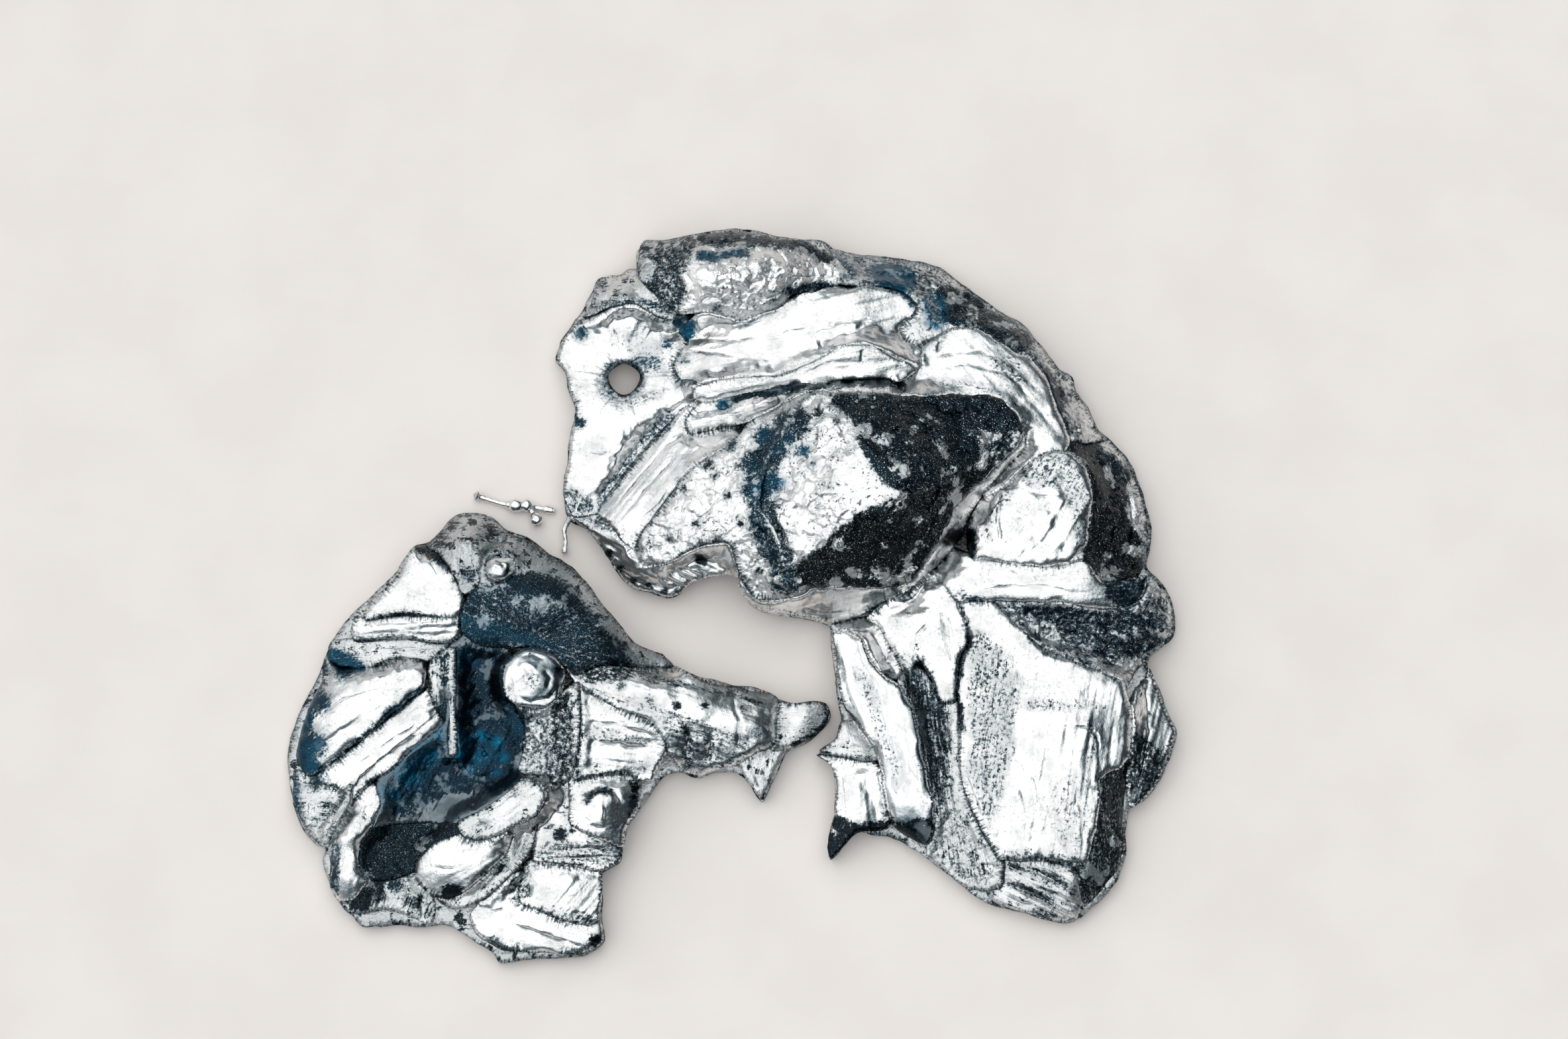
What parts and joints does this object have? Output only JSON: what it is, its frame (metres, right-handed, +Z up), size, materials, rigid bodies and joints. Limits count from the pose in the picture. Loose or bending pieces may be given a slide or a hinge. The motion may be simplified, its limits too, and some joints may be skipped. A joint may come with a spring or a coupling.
{
  "type": "poured metal desk sculpture",
  "caption": "Desk toy sculpture of bright poured tin: a large hooked casting, a fan-shaped casting with an arm reaching to it, and a loose beaded dribble.",
  "frame": {"origin": "middle of the whole group's footprint, on the table it lies on", "axes": "+Z up from the table, +X along the longer side of the group toward the large casting, front toward -Y"},
  "size_m": [0.0788, 0.068, 0.0135],
  "materials": {
    "tin_bright": "as-cast tin, bright and slightly wrinkled",
    "tin_satin": "as-cast tin, satin, fine flow lines",
    "tin_dark": "as-cast tin, crystalline, pitted, blue-grey oxide"
  },
  "bodies": {
    "right_casting": {"right_puddle": "tin_satin", "nugget": "tin_dark", "nugget_west": "tin_bright", "nugget_skirt": "tin_satin", "nugget_flank": "tin_satin", "crest_lump": "tin_bright", "corner_knob": "tin_satin", "holed_sheet": "tin_bright", "crest_band": "tin_bright", "shoulder_band": "tin_bright", "lens_fold": "tin_bright", "under_lens": "tin_satin", "rim_roll": "tin_dark", "flute": "tin_bright", "edge_lip": "tin_satin", "shoulder_pad": "tin_bright", "rim_right": "tin_dark", "cross_ridge": "tin_bright", "dark_flank": "tin_dark", "apron": "tin_bright", "side_fold": "tin_dark", "neck_pad": "tin_bright", "fold_seam": "tin_dark", "bar": "tin_bright", "bar_cuff": "tin_satin", "lens_pad": "tin_satin", "hook_fin": "tin_bright", "toe": "tin_satin", "back_flake": "tin_dark", "hair_thread": "tin_satin"},
    "left_casting": {"left_puddle": "tin_satin", "bead": "tin_bright", "peak_knob": "tin_satin", "dome_bump": "tin_bright", "dome_ridge": "tin_dark", "fan_leaf": "tin_bright", "fan_rib_upper": "tin_bright", "fan_rib_grey": "tin_satin", "fan_rib_broad": "tin_bright", "fan_rib_long": "tin_bright", "rim_plate": "tin_satin", "rim_rib": "tin_bright", "blue_pool": "tin_dark", "pool_fin": "tin_satin", "saddle": "tin_satin", "arm": "tin_satin", "arm_pad": "tin_satin", "arm_fang": "tin_satin", "ledge": "tin_bright", "ring_cell": "tin_bright", "mid_ledge": "tin_bright", "lower_cell": "tin_bright", "rim_fold": "tin_bright", "pod_crest": "tin_bright", "pod_flap": "tin_bright", "pod_lip": "tin_satin", "hollow": "tin_dark", "skirt_shell": "tin_satin"},
    "loose_dribble": {"dribble": "tin_satin"}
  },
  "joints": [
    {"name": "left_lift", "type": "slide", "parent": "right_casting", "child": "left_casting", "axis": [0, 0, 1], "range_m": [0, 0.03]},
    {"name": "dribble_lift", "type": "slide", "parent": "right_casting", "child": "loose_dribble", "axis": [0, 0, 1], "range_m": [0, 0.03]}
  ]
}
